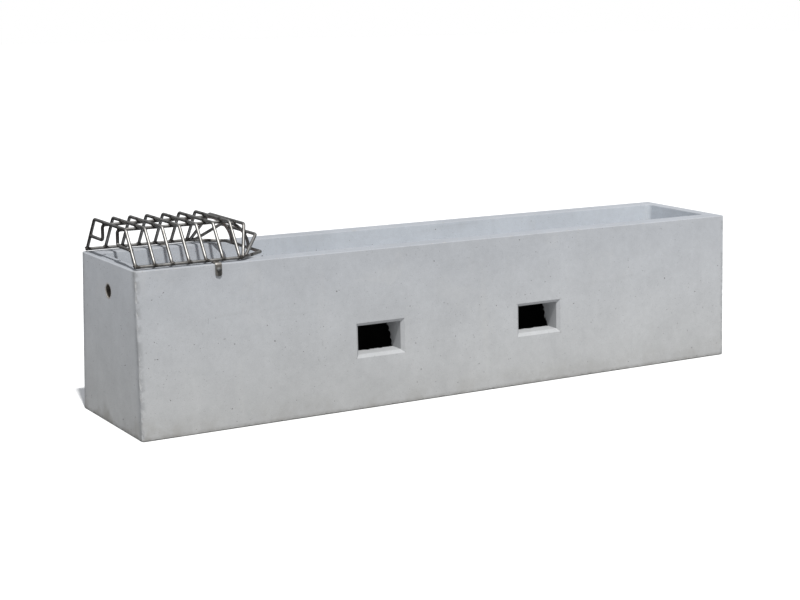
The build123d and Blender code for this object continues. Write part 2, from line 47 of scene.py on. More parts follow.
# ------------------------------------------------------------------ node helpers
class Mat:
    """A small writer for procedural node materials."""

    def __init__(self, name):
        self.m = bpy.data.materials.new(name)
        self.m.use_nodes = True
        self.t = self.m.node_tree
        self.t.nodes.clear()
        self.out = self.t.nodes.new("ShaderNodeOutputMaterial")
        self.b = self.t.nodes.new("ShaderNodeBsdfPrincipled")
        self.t.links.new(self.b.outputs[0], self.out.inputs[0])
        tc = self.t.nodes.new("ShaderNodeTexCoord")
        self.pos = tc.outputs["Object"]

    def link(self, a, b):
        self.t.links.new(a, b)

    def put(self, socket, value):
        if hasattr(value, "is_output"):
            self.link(value, socket)
        elif isinstance(value, (tuple, list)):
            v = list(value)
            if len(socket.default_value) == 4 and len(v) == 3:
                v.append(1.0)
            socket.default_value = v
        else:
            socket.default_value = value

    def mapping(self, vec, scale=(1, 1, 1), rot=(0, 0, 0), loc=(0, 0, 0)):
        n = self.t.nodes.new("ShaderNodeMapping")
        self.link(vec, n.inputs[0])
        n.inputs["Scale"].default_value = scale
        n.inputs["Rotation"].default_value = rot
        n.inputs["Location"].default_value = loc
        return n.outputs[0]

    def noise(self, scale, detail=3.0, rough=0.5, vec=None, distort=0.0, color=False):
        n = self.t.nodes.new("ShaderNodeTexNoise")
        self.link(vec or self.pos, n.inputs["Vector"])
        n.inputs["Scale"].default_value = scale
        n.inputs["Detail"].default_value = detail
        n.inputs["Roughness"].default_value = rough
        n.inputs["Distortion"].default_value = distort
        return n.outputs["Color" if color else "Fac"]

    def voronoi(self, scale, vec=None, feature="F1", rnd=1.0, out="Distance"):
        n = self.t.nodes.new("ShaderNodeTexVoronoi")
        n.feature = feature
        self.link(vec or self.pos, n.inputs["Vector"])
        n.inputs["Scale"].default_value = scale
        n.inputs["Randomness"].default_value = rnd
        return n.outputs[out]

    def ramp(self, fac, stops):
        n = self.t.nodes.new("ShaderNodeValToRGB")
        self.link(fac, n.inputs[0])
        e = n.color_ramp.elements
        while len(e) > 1:
            e.remove(e[-1])
        for i, (p, c) in enumerate(stops):
            x = e[0] if i == 0 else e.new(p)
            x.position = p
            c = c if isinstance(c, (tuple, list)) else (c, c, c)
            x.color = (*c, 1.0) if len(c) == 3 else c
        return n.outputs[0]

    def remap(self, fac, a, b, c, d, smooth=False):
        n = self.t.nodes.new("ShaderNodeMapRange")
        n.interpolation_type = "SMOOTHSTEP" if smooth else "LINEAR"
        self.link(fac, n.inputs[0])
        for i, v in zip((1, 2, 3, 4), (a, b, c, d)):
            n.inputs[i].default_value = v
        return n.outputs[0]

    def math(self, op, a, b=0.0, clamp=False):
        n = self.t.nodes.new("ShaderNodeMath")
        n.operation = op
        n.use_clamp = clamp
        self.put(n.inputs[0], a)
        self.put(n.inputs[1], b)
        return n.outputs[0]

    def mix(self, fac, a, b, mode="MIX"):
        n = self.t.nodes.new("ShaderNodeMix")
        n.data_type = "RGBA"
        n.blend_type = mode
        self.put(n.inputs[0], fac)
        self.put(n.inputs[6], a)
        self.put(n.inputs[7], b)
        return n.outputs[2]

    def xyz(self, vec=None):
        n = self.t.nodes.new("ShaderNodeSeparateXYZ")
        self.link(vec or self.pos, n.inputs[0])
        return n.outputs

    def hollow_gap(self, ay, z):
        """How far a point of the shell lies outside the sloping walls of the hollow base."""
        high = self.math("SUBTRACT", 0.1934, self.math("MULTIPLY", self.math("SUBTRACT", z, 0.190), 0.4557))
        low = self.math("SUBTRACT", 0.210, self.math("MULTIPLY", z, 0.0875))
        return self.math("SUBTRACT", ay, self.math("MINIMUM", high, low))

    def bump(self, height, strength, dist, normal=None):
        n = self.t.nodes.new("ShaderNodeBump")
        self.link(height, n.inputs["Height"])
        n.inputs["Strength"].default_value = strength
        n.inputs["Distance"].default_value = dist
        if normal is not None:
            self.link(normal, n.inputs["Normal"])
        return n.outputs[0]

    def set(self, **kw):
        names = {"color": "Base Color", "metal": "Metallic", "rough": "Roughness", "normal": "Normal",
                 "spec": "Specular IOR Level", "coat": "Coat Weight", "coat_rough": "Coat Roughness",
                 "aniso": "Anisotropic", "tint": "Specular Tint", "sheen": "Sheen Weight"}
        for k, v in kw.items():
            self.put(self.b.inputs[names[k]], v)
        return self.m


# ------------------------------------------------------------------ materials
def mat_concrete():
    k = Mat("concrete_cast")
    p = k.pos
    x, y, z = k.xyz()
    ax, ay = k.math("ABSOLUTE", x), k.math("ABSOLUTE", y)
    big = k.noise(1.7, 4, 0.55)
    mid = k.noise(7.5, 5, 0.6)
    small = k.noise(42.0, 5, 0.65)
    grain = k.noise(430.0, 3, 0.6)

    def mask(*parts):
        out = parts[0]
        for q in parts[1:]:
            out = k.math("MULTIPLY", out, q)
        return out

    # cool grey paste, a little warmer towards the ground
    c = k.mix(k.remap(z, 0.02, 0.55, 0.0, 1.0), (0.430, 0.434, 0.434), (0.416, 0.430, 0.452))
    tone = k.remap(big, 0.25, 0.75, 0.955, 1.045)
    tone = k.math("MULTIPLY", tone, k.remap(mid, 0.25, 0.75, 0.940, 1.060))
    tone = k.math("MULTIPLY", tone, k.remap(small, 0.30, 0.70, 1.035, 0.965))
    tone = k.math("MULTIPLY", tone, k.remap(grain, 0.30, 0.70, 0.925, 1.075))
    tone = k.math("MULTIPLY", tone, k.remap(x, -1.35, 1.35, 0.955, 1.055))
    # long faces darker low down and just under the rim; end faces painted lighter towards the top, painted light
    # standing in for sun they lack, and darker beside the upright edges
    end = k.remap(ax, 1.3465, 1.3495, 0.0, 1.0)
    zr = k.remap(z, 0.0, 0.6, 0.0, 1.0)
    long_side = k.ramp(zr, [(0.0, 0.93), (0.22, 0.975), (0.5, 1.0), (0.75, 1.0), (0.94, 0.965), (1.0, 0.965)])
    short_side = k.ramp(zr, [(0.0, 1.0), (0.45, 1.0), (1.0, 1.0)])
    c = k.mix(1.0, c, tone, "MULTIPLY")
    c = k.mix(1.0, c, k.mix(end, long_side, short_side), "MULTIPLY")
    end_painted_light = k.remap(z, 0.0, 0.6, 1.03, 1.19)
    c = k.mix(1.0, c, k.mix(end, (1, 1, 1), k.mix(1.0, (1, 1, 1), end_painted_light, "MULTIPLY")), "MULTIPLY")
    # rim top a little darker and cooler; basin walls painted lighter and cooler, painted light standing in for light
    # the inner walls lack
    rim = k.remap(z, 0.5975, 0.5995, 0.0, 1.0, True)
    c = k.mix(rim, c, k.mix(1.0, c, (0.895, 0.905, 0.925), "MULTIPLY"))
    basin = mask(k.remap(z, 0.350, 0.360, 0.0, 1.0), k.remap(z, 0.5965, 0.5985, 1.0, 0.0), k.remap(ay, 0.1815, 0.1835, 1.0, 0.0), k.remap(ax, 1.2995, 1.3015, 1.0, 0.0))
    c = k.mix(basin, c, k.mix(1.0, c, (1.19, 1.215, 1.235), "MULTIPLY"))
    side = k.remap(k.math("ADD", ay, k.math("MULTIPLY", z, 0.05)), 0.235, 0.278, 0.0, 1.0, True)
    c = k.mix(mask(end, side, k.remap(mid, 0.3, 0.7, 0.35, 0.85)), c, (0.330, 0.340, 0.352))
    # faint tide and run marks, drawn out along the height
    run = k.noise(10.0, 4, 0.6, vec=k.mapping(p, scale=(1.0, 1.0, 0.10)))
    c = k.mix(k.remap(run, 0.58, 0.80, 0.0, 0.30, True), c, (0.480, 0.480, 0.474))
    c = k.mix(k.remap(run, 0.40, 0.24, 0.0, 0.22, True), c, (0.350, 0.360, 0.370))
    tide = k.noise(3.0, 5, 0.62, vec=k.mapping(p, scale=(0.5, 0.5, 5.0)), distort=0.6)
    c = k.mix(k.remap(tide, 0.60, 0.76, 0.0, 0.26, True), c, (0.355, 0.365, 0.372))
    # rubbed places where stock stand and lean
    rub = k.noise(5.0, 5, 0.7, distort=0.4)
    c = k.mix(mask(k.remap(rub, 0.54, 0.66, 0.0, 0.24, True), k.remap(z, 0.10, 0.50, 0.3, 1.0)), c, (0.485, 0.490, 0.494))
    # upright corners darker in uneven patches
    corner_darker = mask(k.remap(ax, 1.325, 1.3475, 0.0, 1.0, True), k.remap(k.math("ADD", ay, k.math("MULTIPLY", z, 0.05)), 0.250, 0.276, 0.0, 1.0, True),
                k.remap(k.noise(26.0, 4, 0.65), 0.42, 0.60, 0.0, 0.75, True))
    c = k.mix(corner_darker, c, (0.270, 0.276, 0.284))
    # brown-grey soiling near the ground, heavier at the valve end
    low = k.remap(z, 0.0, 0.10, 1.0, 0.0, True)
    heavy = k.remap(x, -1.36, -1.02, 1.0, 0.42, True)
    dirt = mask(low, heavy, k.remap(k.noise(6.0, 5, 0.68), 0.40, 0.62, 0.0, 0.80, True))
    c = k.mix(dirt, c, (0.290, 0.282, 0.262))
    # a thin dark band along the foot: painted contact shadow where the trough meets the floor
    foot = mask(k.remap(z, 0.0, 0.016, 0.62, 0.0, True), k.remap(small, 0.36, 0.62, 0.4, 1.0))
    c = k.mix(foot, c, (0.200, 0.196, 0.186))
    # fine pin holes: dark specks, painted shade inside holes too small to model; they are also dented in the bump below
    def specks(scale, channel, lo_, hi_, r0, r1):
        d = k.voronoi(scale)
        sep = k.t.nodes.new("ShaderNodeSeparateColor")
        k.link(k.voronoi(scale, out="Color"), sep.inputs[0])
        return k.math("MULTIPLY", k.remap(d, r0, r1, 1.0, 0.0, True), k.remap(sep.outputs[channel], lo_, hi_, 0.0, 1.0))

    pins = k.math("MAXIMUM", specks(165.0, 0, 0.86, 0.90, 0.10, 0.24), specks(52.0, 1, 0.90, 0.93, 0.05, 0.12))
    c = k.mix(k.math("MULTIPLY", pins, 0.60), c, (0.150, 0.150, 0.150))
    # the inside of the hollow base painted near black: painted shade
    hollow_painted_shade = mask(k.remap(z, 0.3185, 0.3195, 1.0, 0.0), k.remap(k.hollow_gap(ay, z), 0.0008, 0.0045, 1.0, 0.0, True), k.remap(ax, 1.272, 1.282, 1.0, 0.0))
    c = k.mix(k.math("MULTIPLY", hollow_painted_shade, 0.93), c, (0.040, 0.038, 0.036))
    zi = k.math("SUBTRACT", z, 0.492)
    rad = k.math("SQRT", k.math("ADD", k.math("MULTIPLY", y, y), k.math("MULTIPLY", zi, zi)))
    # the inside of the inlet hole painted near black: painted shade
    bore_painted_shade = mask(k.remap(rad, 0.0256, 0.0270, 1.0, 0.0), k.remap(x, -1.3498, -1.3468, 0.0, 1.0, True), k.remap(x, -1.20, -1.19, 1.0, 0.0))
    c = k.mix(bore_painted_shade, c, (0.018, 0.017, 0.015))
    # a warm brown ring round the mouth of the inlet hole
    lip = mask(k.remap(rad, 0.0262, 0.0330, 1.0, 0.0, True), k.remap(x, -1.3495, -1.3470, 1.0, 0.65), k.remap(x, -1.20, -1.19, 1.0, 0.0),
               k.remap(small, 0.35, 0.6, 0.3, 0.75))
    c = k.mix(lip, c, (0.300, 0.262, 0.215))
    ht = k.math("ADD", k.math("MULTIPLY", grain, 0.35), k.math("MULTIPLY", small, 0.9))
    ht = k.math("SUBTRACT", ht, k.math("MULTIPLY", pins, 1.6))
    n1 = k.bump(ht, 0.30, 0.0006)
    n2 = k.bump(k.noise(14.0, 4, 0.55), 0.18, 0.0020, normal=n1)
    rough = k.remap(mid, 0.3, 0.7, 0.82, 0.94)
    return k.set(color=c, rough=rough, normal=n2, spec=0.22)


# inside of the blowholes: a dark grey, painted shade in the holes
def mat_pore():
    k = Mat("concrete_pore")
    n = k.noise(300.0, 3, 0.6)
    c = k.ramp(n, [(0.3, (0.130, 0.130, 0.128)), (0.7, (0.250, 0.250, 0.244))])
    return k.set(color=c, rough=0.95, normal=k.bump(n, 0.4, 0.0004), spec=0.2)


def mat_broken():
    """Fresh or weathered break: sand and small stones in the paste."""
    k = Mat("concrete_broken")
    x, y, z = k.xyz()
    n = k.noise(60.0, 5, 0.65)
    c = k.ramp(n, [(0.3, (0.350, 0.358, 0.366)), (0.7, (0.430, 0.436, 0.440))])
    st = k.voronoi(300.0, out="Color")
    sep = k.t.nodes.new("ShaderNodeSeparateColor")
    k.link(st, sep.inputs[0])
    c = k.mix(k.remap(sep.outputs[0], 0.66, 0.84, 0.0, 0.42), c, (0.285, 0.272, 0.252))
    c = k.mix(k.remap(sep.outputs[1], 0.84, 0.95, 0.0, 0.35), c, (0.500, 0.495, 0.480))
    # broken faces inside the hollow base painted near black: painted shade
    low = k.math("MULTIPLY", k.remap(z, 0.33, 0.34, 1.0, 0.0), k.remap(k.hollow_gap(k.math("ABSOLUTE", y), z), -0.002, 0.006, 0.90, 0.0, True))
    c = k.mix(low, c, (0.070, 0.067, 0.064))
    # a dark band at the foot: painted contact shadow where the trough meets the floor
    c = k.mix(k.remap(z, 0.0, 0.012, 0.55, 0.0, True), c, (0.200, 0.196, 0.186))
    h = k.math("ADD", k.voronoi(300.0), n)
    return k.set(color=c, rough=0.93, normal=k.bump(h, 0.40, 0.0008), spec=0.2)


def mat_bar_steel(name, dark, light, rust, rough=(0.24, 0.46), metal=0.9, burnt=False):
    """Drawn or rolled steel: metallic, with scuffs, dull patches and a little warm staining."""
    k = Mat(name)
    n_big = k.noise(18.0, 4, 0.6)
    n_mid = k.noise(95.0, 4, 0.6)
    n_fine = k.noise(900.0, 2, 0.5)
    c = k.mix(k.remap(n_big, 0.35, 0.65, 0.0, 1.0, True), dark, light)
    c = k.mix(k.remap(n_mid, 0.52, 0.74, 0.0, 0.55, True), c, rust)
    c = k.mix(k.remap(n_fine, 0.35, 0.70, 0.0, 0.30), c, dark)
    r = k.remap(k.math("ADD", k.math("MULTIPLY", n_mid, 0.6), k.math("MULTIPLY", n_big, 0.4)), 0.35, 0.65, rough[0], rough[1])
    if burnt:
        # oxide left by the welding: at the feet of the ribs and where the long bars cross
        x, y, z = k.xyz()
        t = k.math("FRACT", k.math("ADD", k.math("DIVIDE", k.math("ADD", x, 1.2653), 0.0657), 20.5))
        near = k.math("MULTIPLY", k.math("ABSOLUTE", k.math("SUBTRACT", t, 0.5)), 0.0657)
        near = k.math("ADD", near, k.math("MULTIPLY", k.math("SUBTRACT", n_mid, 0.5), 0.010))
        foot = k.math("MULTIPLY", k.remap(near, 0.005, 0.014, 1.0, 0.0, True), k.remap(z, 0.616, 0.632, 1.0, 0.0, True))
        cross = k.math("MULTIPLY", k.remap(near, 0.005, 0.015, 1.0, 0.0, True),
                       k.remap(k.math("ABSOLUTE", k.math("SUBTRACT", k.math("ABSOLUTE", y), 0.070)), 0.006, 0.016, 1.0, 0.0, True))
        cross = k.math("MULTIPLY", cross, k.remap(z, 0.66, 0.70, 0.0, 0.8))
        burn = k.math("MAXIMUM", foot, cross)
        c = k.mix(k.math("MULTIPLY", burn, 0.86), c, (0.045, 0.040, 0.036))
        r = k.math("ADD", r, k.math("MULTIPLY", burn, 0.12))
    h = k.math("ADD", k.math("MULTIPLY", n_fine, 0.5), n_mid)
    return k.set(color=c, metal=metal, rough=r, normal=k.bump(h, 0.25, 0.00025))


def mat_weld():
    k = Mat("weld_bead")
    n = k.noise(160.0, 4, 0.65)
    c = k.ramp(n, [(0.3, (0.040, 0.037, 0.035)), (0.55, (0.115, 0.107, 0.100)), (0.75, (0.26, 0.245, 0.23))])
    heat = k.noise(60.0, 2)
    c = k.mix(k.remap(heat, 0.5, 0.75, 0.0, 0.30, True), c, (0.150, 0.105, 0.070))
    return k.set(color=c, metal=0.85, rough=k.remap(n, 0.3, 0.7, 0.34, 0.6), normal=k.bump(n, 0.5, 0.0004))


def mat_zinc():
    k = Mat("zinc_plate")
    v = k.voronoi(330.0, out="Color")
    sep = k.t.nodes.new("ShaderNodeSeparateColor")
    k.link(v, sep.inputs[0])
    c = k.mix(sep.outputs[0], (0.46, 0.47, 0.48), (0.62, 0.62, 0.61))
    n = k.noise(70.0, 4, 0.6)
    c = k.mix(k.remap(n, 0.55, 0.75, 0.0, 0.45, True), c, (0.28, 0.25, 0.21))
    return k.set(color=c, metal=1.0, rough=k.remap(n, 0.3, 0.7, 0.22, 0.42), normal=k.bump(k.noise(700.0, 2), 0.15, 0.0002))


def mat_brass():
    k = Mat("brass_cast")
    n = k.noise(45.0, 5, 0.6)
    f = k.noise(520.0, 3, 0.6)
    c = k.ramp(n, [(0.30, (0.40, 0.245, 0.085)), (0.52, (0.56, 0.385, 0.150)), (0.74, (0.66, 0.485, 0.22))])
    c = k.mix(k.remap(f, 0.52, 0.72, 0.0, 0.45, True), c, (0.235, 0.165, 0.085))
    green = k.noise(24.0, 4, 0.7)
    c = k.mix(k.remap(green, 0.64, 0.78, 0.0, 0.5, True), c, (0.135, 0.255, 0.195))
    # painted near black where it sits in the inlet hole: painted shade
    hole_painted_shade = k.remap(k.xyz()[0], -1.2990, -1.2925, 0.93, 0.0, True)
    c = k.mix(hole_painted_shade, c, (0.014, 0.012, 0.010))
    r = k.math("ADD", k.remap(n, 0.3, 0.7, 0.28, 0.50), k.math("MULTIPLY", hole_painted_shade, 0.30))
    return k.set(color=c, metal=k.remap(hole_painted_shade, 0.0, 0.93, 0.95, 0.25), rough=r, normal=k.bump(f, 0.22, 0.0003))


def mat_rubber():
    k = Mat("seal_rubber")
    n = k.noise(80.0, 4, 0.6)
    f = k.noise(900.0, 2, 0.5)
    c = k.ramp(n, [(0.3, (0.013, 0.013, 0.014)), (0.7, (0.040, 0.039, 0.038))])
    c = k.mix(k.remap(f, 0.6, 0.8, 0.0, 0.25), c, (0.11, 0.11, 0.105))
    return k.set(color=c, rough=k.remap(n, 0.3, 0.7, 0.62, 0.82), normal=k.bump(f, 0.25, 0.0003), spec=0.35)


def mat_float():
    k = Mat("float_plastic")
    n = k.noise(12.0, 4, 0.6)
    f = k.noise(260.0, 3, 0.55)
    c = k.ramp(n, [(0.3, (0.56, 0.125, 0.020)), (0.7, (0.70, 0.185, 0.035))])
    c = k.mix(k.remap(f, 0.55, 0.78, 0.0, 0.35, True), c, (0.78, 0.36, 0.16))
    scr = k.noise(34.0, 5, 0.7, vec=k.mapping(k.pos, scale=(1.0, 7.0, 1.0)))
    c = k.mix(k.remap(scr, 0.60, 0.72, 0.0, 0.35, True), c, (0.62, 0.48, 0.36))
    return k.set(color=c, rough=k.remap(n, 0.3, 0.7, 0.34, 0.50), normal=k.bump(f, 0.12, 0.0003), spec=0.45)


def mat_white_plastic():
    k = Mat("nozzle_plastic")
    n = k.noise(120.0, 3, 0.5)
    c = k.ramp(n, [(0.3, (0.60, 0.59, 0.54)), (0.7, (0.76, 0.75, 0.70))])
    return k.set(color=c, rough=k.remap(n, 0.3, 0.7, 0.38, 0.55), normal=k.bump(n, 0.1, 0.0002))


def mat_rebar():
    k = Mat("rebar_rusty")
    n = k.noise(70.0, 5, 0.65)
    w = k.t.nodes.new("ShaderNodeTexWave")
    w.bands_direction = "X"
    k.link(k.pos, w.inputs[0])
    w.inputs["Scale"].default_value = 36.0
    w.inputs["Distortion"].default_value = 0.4
    c = k.ramp(n, [(0.3, (0.075, 0.030, 0.016)), (0.55, (0.20, 0.082, 0.035)), (0.75, (0.30, 0.16, 0.085))])
    return k.set(color=c, metal=0.35, rough=k.remap(n, 0.3, 0.7, 0.6, 0.88), normal=k.bump(w.outputs["Fac"], 0.6, 0.0008))


M_CONCRETE, M_PORE, M_BROKEN = mat_concrete(), mat_pore(), mat_broken()
M_BAR = mat_bar_steel("guard_bar_steel", (0.212, 0.206, 0.197), (0.350, 0.342, 0.329), (0.195, 0.170, 0.145), rough=(0.38, 0.50), metal=0.95, burnt=True)
M_STRAP = mat_bar_steel("strap_flat_steel", (0.250, 0.240, 0.226), (0.450, 0.430, 0.400), (0.270, 0.228, 0.190), rough=(0.42, 0.60), metal=0.90)
M_ROD = mat_bar_steel("drawn_rod_steel", (0.30, 0.30, 0.30), (0.52, 0.52, 0.51), (0.30, 0.26, 0.22), rough=(0.20, 0.36))
M_WELD, M_ZINC, M_BRASS, M_RUBBER = mat_weld(), mat_zinc(), mat_brass(), mat_rubber()
M_FLOAT, M_NOZZLE, M_REBAR = mat_float(), mat_white_plastic(), mat_rebar()

BY_SLOT = {"concrete": M_CONCRETE, "rebar_steel": M_REBAR, "guard_steel": M_BAR, "strap_steel": M_STRAP,
           "zinc_fastener": M_ZINC, "seal_rubber": M_RUBBER, "float_plastic": M_FLOAT, "plain_steel": M_ROD,
           "nozzle_plastic": M_NOZZLE, "valve_brass": M_BRASS}
SLOT_OF = {s["node"]: s["material_slot"] for s in frame["record"]["subparts"]}
BODY_OF = {n: b for b, ns in frame["record"]["behaviour"]["bodies"].items() for n in ns}


def paint(obj, mat):
    obj.data.materials.clear()
    obj.data.materials.append(mat)


def repaint(obj, mat):
    """New finish on a CAD node: its slots change, its mesh doesn't."""
    if not obj.material_slots:
        obj.data.materials.append(mat)
    for s in obj.material_slots:
        s.material = mat


for n, o in NODES.items():
    repaint(o, BY_SLOT[SLOT_OF[n]])


# ------------------------------------------------------------------ mesh helpers
def new_object(name, verts, faces, mat, body, smooth=True, sharp=None):
    me = bpy.data.meshes.new(name)
    me.from_pydata([tuple(v) for v in verts], [], faces)
    me.validate()
    ob = bpy.data.objects.new(name, me)
    bpy.context.scene.collection.objects.link(ob)
    return dress(ob, mat, body, smooth, sharp)


def dress(ob, mat, body, smooth=True, sharp=None):
    paint(ob, mat)
    me = ob.data
    me.polygons.foreach_set("use_smooth", [bool(smooth)] * len(me.polygons))
    if sharp is not None:
        bm = bmesh.new()
        bm.from_mesh(me)
        for e in bm.edges:
            if len(e.link_faces) == 2:
                e.smooth = e.calc_face_angle(0.0) < math.radians(sharp)
        bm.to_mesh(me)
        bm.free()
    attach(ob, body)
    return ob


def cad_bmesh(node):
    """A welded copy of a CAD node's mesh with its flat faces made whole."""
    bm = bmesh.new()
    bm.from_mesh(NODES[node].data)
    bmesh.ops.remove_doubles(bm, verts=bm.verts, dist=2e-6)
    bmesh.ops.dissolve_degenerate(bm, dist=1e-7, edges=bm.edges)
    bmesh.ops.recalc_face_normals(bm, faces=bm.faces)
    return bm


def finish_mesh(bm, name):
    me = bpy.data.meshes.new(name)
    bm.to_mesh(me)
    bm.free()
    ob = bpy.data.objects.new(name, me)
    bpy.context.scene.collection.objects.link(ob)
    return ob


def apply_all(ob):
    dg = bpy.context.evaluated_depsgraph_get()
    me = bpy.data.meshes.new_from_object(ob.evaluated_get(dg))
    old = ob.data
    ob.modifiers.clear()
    ob.data = me
    bpy.data.meshes.remove(old)
    return ob


def softened(node, name, width, mat, segments=2, angle=28.0):
    """Stands for a CAD node: the same shape with its sharp edges broken."""
    bm = cad_bmesh(node)
    bmesh.ops.dissolve_limit(bm, angle_limit=math.radians(0.6), verts=bm.verts, edges=bm.edges)
    ob = finish_mesh(bm, name)
    m = ob.modifiers.new("edge", "BEVEL")
    m.width = width
    m.segments = segments
    m.limit_method = "ANGLE"
    m.angle_limit = math.radians(angle)
    m.harden_normals = False
    m.use_clamp_overlap = True
    apply_all(ob)
    dress(ob, mat, BODY_OF[node], True, 35.0)
    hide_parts(node)
    return ob


def tube(points, radius, sides=12, closed=False, ripple=0.0, ripple_len=0.0012, wobble=0.0, seed=0):
    """Verts and faces of a tube round a path, with optional weld ripples."""
    P = [Vector(p) for p in points]
    n = len(P)
    verts, faces = [], []
    up = Vector((0.0, 0.0, 1.0))
    prev = None
    s = 0.0
    for i in range(n):
        a = P[i - 1] if (i > 0 or closed) else P[i]
        b = P[(i + 1) % n] if (i < n - 1 or closed) else P[i]
        t = (b - a).normalized()
        if prev is None:
            ref = up if abs(t.dot(up)) < 0.9 else Vector((1.0, 0.0, 0.0))
            u = t.cross(ref).normalized()
        else:
            u = (prev - t * prev.dot(t)).normalized()
        prev = u
        v = t.cross(u)
        if i:
            s += (P[i] - P[i - 1]).length
        r = radius(i / max(1, n - 1)) if callable(radius) else radius
        r *= 1.0 + ripple * math.sin(2 * math.pi * s / ripple_len)
        for k in range(sides):
            a2 = 2 * math.pi * k / sides
            d = u * math.cos(a2) + v * math.sin(a2)
            q = P[i] + d * r
            if wobble:
                q += d * wobble * noise.noise(q * 900.0 + Vector((seed, 0, 0)))
            verts.append(q)
    rows = n if closed else n - 1
    for i in range(rows):
        j = (i + 1) % n
        for k in range(sides):
            l = (k + 1) % sides
            faces.append((i * sides + k, i * sides + l, j * sides + l, j * sides + k))
    if not closed:
        verts.append(P[0])
        verts.append(P[-1])
        c0, c1 = len(verts) - 2, len(verts) - 1
        for k in range(sides):
            l = (k + 1) % sides
            faces.append((c0, l, k))
            faces.append((c1, (n - 1) * sides + k, (n - 1) * sides + l))
    return verts, faces


class Heap:
    """Collects several closed lumps into one mesh."""

    def __init__(self):
        self.v, self.f = [], []

    def add(self, vf):
        k = len(self.v)
        self.v += list(vf[0])
        self.f += [tuple(i + k for i in f) for f in vf[1]]


def lump(center, axes, seed, rough=0.10, sub=3):
    """A puddled bead: an uneven ellipsoid with semi-axes given as vectors."""
    bm = bmesh.new()
    bmesh.ops.create_icosphere(bm, subdivisions=sub, radius=1.0)
    a, b, c = [Vector(x) for x in axes]
    vs = []
    for v in bm.verts:
        d = v.co.copy()
        k = 1.0 + rough * noise.noise(d * 2.3 + Vector((seed * 3.1, seed * 1.7, 0)))
        vs.append(Vector(center) + (a * d.x + b * d.y + c * d.z) * k)
    fs = [tuple(v.index for v in f.verts) for f in bm.faces]
    bm.free()
    return vs, fs


# ------------------------------------------------------------------ concrete shell
# sizes of the casting, in metres
HX, TOP_Y, FOOT_Y, RIM = 1.35, 0.25, 0.28, 0.60
SLOPE = (FOOT_Y - TOP_Y) / RIM
RIM_R = 0.004
POCKET_X, POCKET_W, POCKET_H, SILL = 0.3695, 0.188, 0.109, 0.2045
INLET_Z, DRAIN_Z = 0.492, 0.396


def face_y(z):
    return TOP_Y + (RIM - z) * SLOPE


def hollow_y(z):
    return 0.1934 - (z - 0.190) * math.tan(math.radians(24.5)) if z > 0.190 else 0.21 - z * math.tan(math.radians(5.0))


def ico(sub):
    bm = bmesh.new()
    bmesh.ops.create_icosphere(bm, subdivisions=sub, radius=1.0)
    v = np.array([x.co for x in bm.verts])
    f = np.array([[y.index for y in x.verts] for x in bm.faces])
    bm.free()
    return v, f


ICO = {k: ico(k) for k in (1, 2, 3)}


def frame_from(n):
    n = np.array(n, float)
    n /= np.linalg.norm(n)
    a = np.array([0.0, 0.0, 1.0]) if abs(n[2]) < 0.9 else np.array([1.0, 0.0, 0.0])
    u = np.cross(a, n)
    u /= np.linalg.norm(u)
    return u, np.cross(n, u), n


class Cutters:
    """Closed lumps that don't touch one another, shared out over a few rounds of cutting."""

    def __init__(self, index, gap=0.0006):
        self.rounds, self.gap, self.index = [], gap, index

    def add(self, centre, reach, verts, faces):
        for r in self.rounds:
            if all(np.linalg.norm(centre - c) > reach + q + self.gap for c, q in zip(r["c"], r["q"])):
                break
        else:
            r = {"c": [], "q": [], "v": [], "f": [], "n": 0}
            self.rounds.append(r)
        r["c"].append(centre)
        r["q"].append(reach)
        r["f"].append(faces + r["n"])
        r["v"].append(verts)
        r["n"] += len(verts)

    def cut(self, ob):
        for r in self.rounds:
            me = bpy.data.meshes.new("cutters")
            me.from_pydata(np.vstack(r["v"]).tolist(), [], np.vstack(r["f"]).tolist())
            me.update()
            for slot_mat in SHELL_MATS:
                me.materials.append(slot_mat)
            me.polygons.foreach_set("material_index", [self.index] * len(me.polygons))
            c = bpy.data.objects.new("cutters", me)
            bpy.context.scene.collection.objects.link(c)
            m = ob.modifiers.new("cut", "BOOLEAN")
            m.operation = "DIFFERENCE"
            m.solver = "MANIFOLD"
            m.material_mode = "INDEX"
            m.object = c
            apply_all(ob)
            bpy.data.objects.remove(c)
            bpy.data.meshes.remove(me)


def blowhole(cut, point, normal, r, depth, sub):
    """A bubble left at the form face: an uneven bowl of radius r."""
    u, w, n = frame_from(normal)
    v, f = ICO[sub]
    th = RNG.uniform(0, math.pi)
    long = RNG.uniform(1.0, 1.35)
    a = (u * math.cos(th) + w * math.sin(th)) * r * long
    b = (-u * math.sin(th) + w * math.cos(th)) * r / long
    jit = 1.0 + RNG.normal(0, 0.07, len(v))[:, None]
    verts = np.array(point) + (v[:, :1] * a + v[:, 1:2] * b + v[:, 2:] * n * depth) * jit
    cut.add(np.array(point, float), r * long * 1.25, verts, f)


def chip(cut, point, outward, along, size, bite, seed, rough=0.30, stretch=1.5):
    """A broken bit of an edge: an uneven lump that reaches bite below the surface at point."""
    o = np.array(outward, float)
    o /= np.linalg.norm(o)
    t = np.array(along, float)
    t /= np.linalg.norm(t)
    s = np.cross(o, t)
    c = np.array(point, float) + o * (size - bite)
    v, f = ICO[3 if size > 0.005 else 2]
    k = np.array([1.0 + rough * noise.noise(Vector(x) * 1.9 + Vector((seed * 2.7, seed * 1.3, 0.5))) for x in v])[:, None]
    verts = c + (v[:, :1] * t * size * stretch + v[:, 1:2] * s * size + v[:, 2:] * o * size) * k
    cut.add(c, size * stretch * (1 + rough), verts, f)


